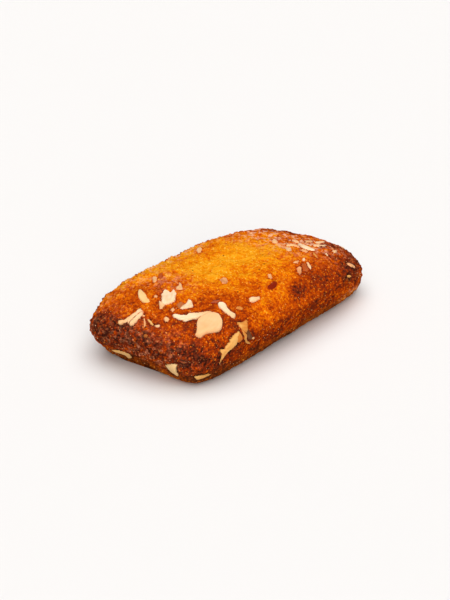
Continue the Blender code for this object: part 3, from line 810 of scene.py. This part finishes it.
def flake_mesh(item, skin, rng):
    """Points, faces and tones of a flake: a closed slice with a rounded edge that follows the crust."""
    out = Vector(FACES[item.face])
    up = Vector((0, 1, 0)) if item.face == "top" else Vector((0, 0, 1))
    right = up.cross(out)
    along_face = Vector([abs(part) for part in right])  # +X or +Y, from whichever side it is seen
    place = along_face * item.first + up * item.second + out * CAST_DISTANCE
    middle, normal = skin.ray_cast(place, -out)[:2]
    seed = Vector([rng.uniform(-NOISE_REACH, NOISE_REACH) for _ in range(3)])
    tilt = rng.uniform(-FLAKE_TILT, FLAKE_TILT)
    spots, triangles, border, depths = flat_slice(rim_points(item.slice, seed))
    ahead = Vector((math.cos(math.radians(item.heading)), math.sin(math.radians(item.heading))))
    sideways = ahead.orthogonal()
    first = min(spot.dot(ahead) for spot in spots)
    last = max(spot.dot(ahead) for spot in spots)
    streaks = SMOOTH_STREAK if item.slice.soft else FLAKE_STREAK
    upper = []
    lower = []
    tones = []
    for spot, depth in zip(spots, depths):
        above = place + right * spot.x + up * spot.y
        flat = above - out * ((above - middle).dot(normal) / out.dot(normal))
        hit = skin.ray_cast(above, -out)[0]
        lies = flat if hit is None else flat.lerp(hit, FLAKE_BEND)
        edge = min(1.0, depth / FLAKE_EDGE)
        along = spot.dot(ahead)
        across = spot.dot(sideways)
        rounding = (1 + FLAKE_SUNK) * math.sqrt(1 - (1 - edge) ** 2) - FLAKE_SUNK
        warp = FLAKE_WARP * noise.noise(seed + Vector((along, across, 3)) / WARP_SIZE)
        rise = (FLAKE_PROUD + item.lift) * rounding + (tilt * across + warp)
        upper.append(lies + normal * rise)
        lower.append(lies - normal * FLAKE_DEPTH)
        streak = noise.noise(seed + Vector((along / STREAK_SIZE[0], across / STREAK_SIZE[1], 7)))
        tones.append(between(item.tones, (along - first) / (last - first)) + streaks * streak)
    count = len(upper)
    faces = list(triangles)
    faces += [tuple(vert + count for vert in reversed(triangle)) for triangle in triangles]
    faces += [(b, a, a + count, b + count) for a, b in border]
    return upper + lower, faces, tones + tones


def joined(meshes):
    """One list each of points, faces and tones from several meshes."""
    points = []
    faces = []
    tones = []
    for more_points, more_faces, more_tones in meshes:
        start = len(points)
        points += more_points
        faces += [tuple(vert + start for vert in face) for face in more_faces]
        tones += more_tones
    return points, faces, tones


def hidden_flakes(rng):
    """Flakes on the sides that are turned away, where the CAD model has them."""
    flakes = []
    for face, count in HIDDEN_FLAKES:
        run = (LENGTH if face == "left" else WIDTH) - 2 * HIDDEN_MARGIN
        for step in range(count):
            place = run * ((step + rng.uniform(*HIDDEN_SPREAD)) / count - 0.5)
            outline = rng.choice((chip, sliver, oval))
            length = rng.uniform(*HIDDEN_LENGTH)
            width = rng.uniform(*HIDDEN_WIDTH)
            heading = rng.uniform(-HIDDEN_TURN, HIDDEN_TURN)
            height = rng.uniform(*HIDDEN_HEIGHT)
            piece = turned(outline(length, width), heading)
            flakes.append(Flake(face, place, height, heading, HIDDEN_TONES, piece, 0.0))
    return tuple(flakes)


def glint_mesh(points, faces, rng):
    """Small octahedral sugar grains, scattered over the browned crust."""
    normals = normals_of(points, faces)
    made_points = []
    made_faces = []
    placed = 0
    while placed < GLINTS:
        pick = rng.randrange(len(points))
        point, normal = points[pick], normals[pick]
        if point.z < GLINT_LOWEST or rng.random() > smooth_step(bake_at(point, normal), *GLINT_BAKE):
            continue
        placed += 1
        size = rng.uniform(*GLINT_SIZE)
        turn = rng.uniform(0, math.pi)
        side = normal.orthogonal().normalized()
        other = normal.cross(side)
        first = side * math.cos(turn) + other * math.sin(turn)
        second = normal.cross(first)
        middle = point + normal * GLINT_PROUD
        start = len(made_points)
        for axis, share in zip((first, second, normal), GLINT_SHAPE):
            made_points += [middle + axis * (size * share), middle - axis * (size * share)]
        for a in (0, 1):
            for b in (2, 3):
                for c in (4, 5):
                    corner = (start + a, start + b, start + c)
                    made_faces.append(corner if (a + b + c) % 2 == 0 else corner[::-1])
    return made_points, made_faces


def new_material(name):
    """A material with its shader and node tree."""
    material = bpy.data.materials.new(name)
    material.use_nodes = True
    return material, material.node_tree, material.node_tree.nodes["Principled BSDF"]


def feed(tree, node, inputs):
    """Give a node its inputs by name: a number, a colour or another node's output."""
    for name, value in inputs:
        if isinstance(value, bpy.types.NodeSocket):
            tree.links.new(value, node.inputs[name])
        else:
            node.inputs[name].default_value = value


def add_node(tree, kind, inputs=(), **settings):
    """A shader node with its settings and inputs."""
    node = tree.nodes.new("ShaderNode" + kind)
    for name, value in settings.items():
        setattr(node, name, value)
    feed(tree, node, inputs)
    return node


def attribute(tree, name):
    """A vertex value that was kept on the piece."""
    return add_node(tree, "Attribute", attribute_name=name).outputs["Fac"]


def grain_place(tree):
    """Place on the piece, so that a texture comes out longer along the way the grain stands."""
    place = add_node(tree, "TexCoord").outputs["Object"]
    drawn_out = add_node(tree, "Mapping", (
        ("Vector", place), ("Rotation", GRAIN_RISE.to_track_quat("Z", "Y").to_euler()),
        ("Scale", (1.0, 1.0, GRAIN_STRETCH))), vector_type="TEXTURE")
    return drawn_out.outputs[0]


def noise_at(tree, size, detail=2.0, roughness=0.5):
    """Noise with features of a size in mm, 0 to 1."""
    node = add_node(tree, "TexNoise", (
        ("Vector", grain_place(tree)), ("Scale", 1 / (size * MM)), ("Detail", detail),
        ("Roughness", roughness)))
    return node.outputs["Fac"]


def grains_at(tree, size):
    """Cells of a size in mm: a random value in each, and the distance from its middle."""
    return add_node(tree, "TexVoronoi", (
        ("Vector", grain_place(tree)), ("Scale", 1 / (size * MM))))


def calc(tree, operation, first, second=0.0, third=0.0, clamp=False):
    """A sum on numbers."""
    return add_node(tree, "Math", ((0, first), (1, second), (2, third)),
                    operation=operation, use_clamp=clamp).outputs[0]


def scaled(tree, value, low, high, out_low, out_high):
    """Value mapped from one range to another and held inside it."""
    node = add_node(tree, "MapRange", (
        ("Value", value), ("From Min", low), ("From Max", high),
        ("To Min", out_low), ("To Max", out_high)))
    return node.outputs[0]


def ramp(tree, value, stops):
    """Colour along a ramp of (place, colour) stops."""
    node = add_node(tree, "ValToRGB", (("Fac", value),))
    bar = node.color_ramp
    while len(bar.elements) < len(stops):
        bar.elements.new(0.5)
    for element, (place, colour) in zip(bar.elements, stops):
        element.position = place
        element.color = (*colour, 1.0)
    return node.outputs["Color"]


def mixed(tree, share, first, second):
    """Two colours mixed by a share."""
    node = add_node(tree, "Mix", ((0, share), (6, first), (7, second)), data_type="RGBA")
    return node.outputs[2]


def bumped(tree, shader, height, distance):
    """Bump from a height of 0 to 1 that stands for a distance in mm."""
    node = add_node(tree, "Bump", (("Height", height), ("Distance", distance * MM)))
    feed(tree, shader, (("Normal", node.outputs[0]),))


# The way the crust's grain stands, and how much longer it is that way
GRAIN_RISE = Vector((-0.69, -0.52, 0.50))
GRAIN_STRETCH = 1.7
# Textures of the crust, in mm. The mottles: size, detail, roughness and the browning they shift by.
MOTTLES = ((3.4, 4.0, 0.62, 0.12), (1.6, 2.0, 0.6, 0.055))
FINE_SIZE = 0.8
CELL_SIZE = 0.54
FLECK_AND_SHEEN_SIZE = 1.2
HIGHLIGHT_SPECK_SIZE = 0.42
DOT_SPACING = 2.4
SHEEN_SIZE = 1.0
SURFACE_SIZE = 0.45
SURFACE_DEPTH = 0.22
CONTRAST = (0.072, 0.112)  # browning, partly painted crease shade, that the fine texture shifts by, smooth to rough
FOOT_SHARE = 0.65
# The crust's colours, by browning
CRUST_STOPS = (
    (0.00, (0.88, 0.360, 0.014)),
    (0.15, (0.82, 0.280, 0.005)),
    (0.25, (0.77, 0.224, 0.003)),
    (0.35, (0.70, 0.153, 0.002)),
    (0.45, (0.60, 0.097, 0.002)),
    (0.55, (0.47, 0.063, 0.002)),
    (0.65, (0.33, 0.036, 0.002)),
    (0.75, (0.215, 0.023, 0.004)),
    (0.87, (0.12, 0.019, 0.007)),
    (1.00, (0.045, 0.009, 0.005)),
)
# The yellower brown at the foot of the sides, and the pale flecks, partly dust and partly painted sheen
# and highlights, by browning
FOOT_STOPS = (
    (0.40, (0.55, 0.190, 0.012)),
    (0.65, (0.32, 0.078, 0.006)),
    (0.90, (0.11, 0.028, 0.006)),
)
FLECK_AND_SHEEN_STOPS = (
    (0.20, (0.90, 0.58, 0.40)),
    (0.55, (0.82, 0.44, 0.28)),
    (0.80, (0.44, 0.15, 0.060)),
    (1.00, (0.26, 0.10, 0.055)),
)
DOT_COLOUR = (0.10, 0.018, 0.004, 1.0)
DOT_STRENGTH = 0.85
# Painted highlights: small grains that stand out light from the crust as if catching the light, by its
# browning
HIGHLIGHT_SPECK_STOPS = (
    (0.00, (0.98, 0.68, 0.15)),
    (0.35, (0.92, 0.44, 0.05)),
    (0.60, (0.80, 0.28, 0.015)),
    (0.80, (0.58, 0.17, 0.025)),
    (1.00, (0.38, 0.13, 0.040)),
)


def dots(tree, spacing, rarity, size):
    """Dots in the cells of a size in mm whose random value is past rarity, fading out over a size."""
    cells = grains_at(tree, spacing)
    chosen = scaled(tree, cells.outputs["Color"], *rarity, 0.0, DOT_STRENGTH)
    return calc(tree, "MULTIPLY", chosen, scaled(tree, cells.outputs["Distance"], *size, 1.0, 0.0))


def crust_material():
    """Golden to deep brown baked crust with dark creases, lighter grains and a dusty sheen in places."""
    # The dark creases are partly painted shade, the lighter grains are painted highlights, and the dusty
    # sheen is partly painted
    material, tree, shader = new_material("baked_crust")
    bake = attribute(tree, "bake")
    for size, detail, roughness, shift in MOTTLES:
        mottle = scaled(tree, noise_at(tree, size, detail, roughness), 0.32, 0.68, -shift, shift)
        bake = calc(tree, "ADD", bake, mottle)
    cells = grains_at(tree, CELL_SIZE)
    shade = scaled(tree, cells.outputs["Color"], 0.1, 0.9, -1.0, 1.0)
    # Darker along the borders of the cells, where the bump sinks into creases: partly the crust's own
    # browning, partly painted shade
    crease_shade = scaled(tree, cells.outputs["Distance"], 0.35, 0.75, -0.4, 1.0)
    fine = scaled(tree, noise_at(tree, FINE_SIZE, 2.0, 0.6), 0.3, 0.7, -1.0, 1.0)
    texture = calc(tree, "ADD", calc(tree, "ADD", shade, crease_shade), fine)
    contrast = scaled(tree, attribute(tree, "rough"), 0.2, 1.0, *CONTRAST)
    bake = calc(tree, "MULTIPLY_ADD", texture, contrast, bake)
    # Painted shade and light: the crust is browner where the grain lies low and paler where it stands
    # high
    hollow_shade = scaled(tree, attribute(tree, "height"), -0.35, 0.20, 0.20, -0.14)
    bake = calc(tree, "ADD", bake, hollow_shade, clamp=True)
    foot = calc(tree, "MULTIPLY", attribute(tree, "foot"), FOOT_SHARE)
    colour = mixed(tree, foot, ramp(tree, bake, CRUST_STOPS), ramp(tree, bake, FOOT_STOPS))
    # Pale flecks: partly dust, partly painted sheen and highlights
    flecks_and_sheen = scaled(tree, noise_at(tree, FLECK_AND_SHEEN_SIZE, 3.0, 0.65), 0.50, 0.60, 0.0, 1.0)
    flecks_and_sheen = calc(tree, "MULTIPLY", attribute(tree, "dust_and_sheen"), flecks_and_sheen)
    colour = mixed(tree, flecks_and_sheen, colour, ramp(tree, bake, FLECK_AND_SHEEN_STOPS))
    # painted highlights on a few of the small cells
    highlight_specks = dots(tree, HIGHLIGHT_SPECK_SIZE, (0.72, 0.80), (0.25, 0.50))
    colour = mixed(tree, highlight_specks, colour, ramp(tree, bake, HIGHLIGHT_SPECK_STOPS))
    colour = mixed(tree, dots(tree, DOT_SPACING, (0.70, 0.72), (0.08, 0.14)), colour, DOT_COLOUR)
    rough = scaled(tree, noise_at(tree, SHEEN_SIZE), 0.35, 0.65, 0.22, 0.60)
    feed(tree, shader, (("Base Color", colour), ("Roughness", rough), ("Specular IOR Level", 0.0)))
    surface = calc(tree, "SUBTRACT", noise_at(tree, SURFACE_SIZE, 3.0, 0.65), cells.outputs["Distance"])
    bumped(tree, shader, surface, SURFACE_DEPTH)
    return material


# Almond colours by tone: the pale flesh, the flesh toasted to gold, and the brown skin, whose darkest
# stop paints the shade in the hollow of the curl
CREAM_STOPS = (
    (0.00, (0.90, 0.67, 0.44)),
    (0.20, (0.82, 0.52, 0.28)),
    (0.40, (0.79, 0.43, 0.185)),
    (0.55, (0.75, 0.33, 0.13)),
    (0.70, (0.52, 0.19, 0.07)),
    (1.00, (0.20, 0.04, 0.01)),
)
GOLDEN_STOPS = (
    (0.00, (0.82, 0.55, 0.250)),
    (0.20, (0.77, 0.45, 0.155)),
    (0.40, (0.72, 0.35, 0.085)),
    (0.60, (0.62, 0.24, 0.045)),
    (0.80, (0.55, 0.15, 0.015)),
    (1.00, (0.30, 0.09, 0.02)),
)
BROWN_AND_SHADE_STOPS = (
    # painted shade: the darkest stop, for the hollow of the curl
    (0.20, (0.12, 0.040, 0.014)),
    (0.45, (0.39, 0.145, 0.050)),
    (0.60, (0.43, 0.140, 0.045)),
    (0.70, (0.45, 0.085, 0.013)),
    (0.80, (0.42, 0.065, 0.006)),
    (0.88, (0.34, 0.085, 0.040)),
    (0.94, (0.24, 0.014, 0.002)),
    (1.00, (0.20, 0.012, 0.002)),
)
ALMOND_MOTTLE_SIZE = 1.6
ALMOND_SHEEN_SIZE = 0.9
ALMOND_SURFACE_SIZE = 0.6
ALMOND_SURFACE_DEPTH = 0.04
# The sugar's tint, which drifts from amber to pale over a size in mm: partly the sugar's colour, partly
# painted glint
SUGAR_AND_GLINT_STOPS = (
    (0.35, (0.80, 0.30, 0.06)),
    (0.65, (0.92, 0.56, 0.30)),
)
SUGAR_SIZE = 3.0


def almond_material(name, stops, gloss):
    """Almond flesh or skin: a tone kept on the piece, with soft mottling."""
    material, tree, shader = new_material(name)
    mottle = scaled(tree, noise_at(tree, ALMOND_MOTTLE_SIZE, 3.0, 0.55), 0.3, 0.7, -0.04, 0.05)
    tone = calc(tree, "ADD", attribute(tree, "tone"), mottle, clamp=True)
    rough = scaled(tree, noise_at(tree, ALMOND_SHEEN_SIZE), 0.3, 0.7, 0.42, 0.58)
    feed(tree, shader, (
        ("Base Color", ramp(tree, tone, stops)), ("Roughness", rough), ("Specular IOR Level", gloss)))
    bumped(tree, shader, noise_at(tree, ALMOND_SURFACE_SIZE, 3.0, 0.6), ALMOND_SURFACE_DEPTH)
    return material


def sugar_material():
    """Baked sugar and oil that glints, its pale tint partly a painted glint."""
    material, tree, shader = new_material("sugar")
    tint = ramp(tree, noise_at(tree, SUGAR_SIZE), SUGAR_AND_GLINT_STOPS)
    feed(tree, shader, (("Base Color", tint), ("Roughness", 0.25), ("Specular IOR Level", 0.15)))
    return material


def almond_piece(name, flakes, skin, rng, material):
    """All flakes of one kind, joined; its points, faces and tones are handed back."""
    points, faces, tones = joined([flake_mesh(item, skin, rng) for item in flakes])
    keep_values(new_piece(name, points, faces, material), "tone", tones)
    return points, faces, tones


def floor_piece():
    """A wide pale floor."""
    mesh = bpy.data.meshes.new("floor")
    half = FLOOR_SIZE / 2
    corners = [(-half, -half, 0), (half, -half, 0), (half, half, 0), (-half, half, 0)]
    mesh.from_pydata(corners, [], [(0, 1, 2, 3)])
    material, tree, shader = new_material("pale_floor")
    feed(tree, shader, (("Base Color", FLOOR_COLOUR), ("Roughness", 0.9), ("Specular IOR Level", 0.0)))
    mesh.materials.append(material)
    floor = add_item("floor", mesh)


def direction(azimuth, elevation):
    """Unit vector towards a place round the cake; azimuth 0 is -Y and 90 is +X, in degrees."""
    turn = math.radians(azimuth)
    rise = math.radians(elevation)
    return Vector((math.sin(turn) * math.cos(rise), -math.cos(turn) * math.cos(rise), math.sin(rise)))


def studio():
    """An even pale surround, broad soft lights overhead and ahead, and a low one at the near corner."""
    world = bpy.data.worlds.new("studio")
    world.use_nodes = True
    tree = world.node_tree
    surround = tree.nodes["Background"]
    feed(tree, surround, (("Color", SURROUND_COLOUR), ("Strength", WORLD_STRENGTH)))
    backdrop = add_node(tree, "Background", (("Color", BACKDROP_COLOUR),))
    seen = add_node(tree, "LightPath").outputs["Is Camera Ray"]
    both = add_node(tree, "MixShader", (
        (0, seen), (1, surround.outputs[0]), (2, backdrop.outputs[0])))
    feed(tree, tree.nodes["World Output"], (("Surface", both.outputs[0]),))
    bpy.context.scene.world = world
    for name, azimuth, elevation, strength, angle, colour in LAMPS:
        lamp = bpy.data.lights.new(name, "SUN")
        lamp.energy = strength
        lamp.color = colour
        lamp.angle = math.radians(angle)
        face_away(add_item(name, lamp), direction(azimuth, elevation))
    bpy.context.scene.view_settings.view_transform = "Standard"


def camera():
    """The photograph's viewpoint."""
    data = bpy.data.cameras.new("camera")
    data.lens = CAMERA_LENS
    data.sensor_width = CAMERA_SENSOR
    data.shift_x, data.shift_y = CAMERA_SHIFT
    item = add_item("camera", data)
    back = direction(CAMERA_AZIMUTH, CAMERA_ELEVATION)
    item.location = (CAMERA_TARGET + back * CAMERA_DISTANCE) * MM
    face_away(item, back)
    bpy.context.scene.camera = item


def build():
    """Make every piece, the studio and the camera."""
    camera()
    studio()
    floor_piece()
    rng = random.Random(SEED)
    points, faces = cake_skin()
    skin = BVHTree.FromPolygons(points, faces)
    kinds = (
        ("almond_flakes", CREAM_FLAKES + hidden_flakes(rng), CREAM_STOPS, 0.15),
        ("toasted_flakes", GOLDEN_FLAKES, GOLDEN_STOPS, 0.10),
        ("almond_skins_and_curl_shade", BROWN_FLAKES_AND_CURL_SHADE, BROWN_AND_SHADE_STOPS, 0.05),
    )
    meshes = [almond_piece(name, flakes, skin, rng, almond_material(name, stops, gloss))
              for name, flakes, stops, gloss in kinds]
    almonds, almond_faces = joined(meshes)[:2]
    crumb_piece(points, faces, BVHTree.FromPolygons(almonds, almond_faces), crust_material())
    glints, glint_faces = glint_mesh(points, faces, rng)
    new_piece("sugar_grains", glints, glint_faces, sugar_material()).data.shade_flat()


build()
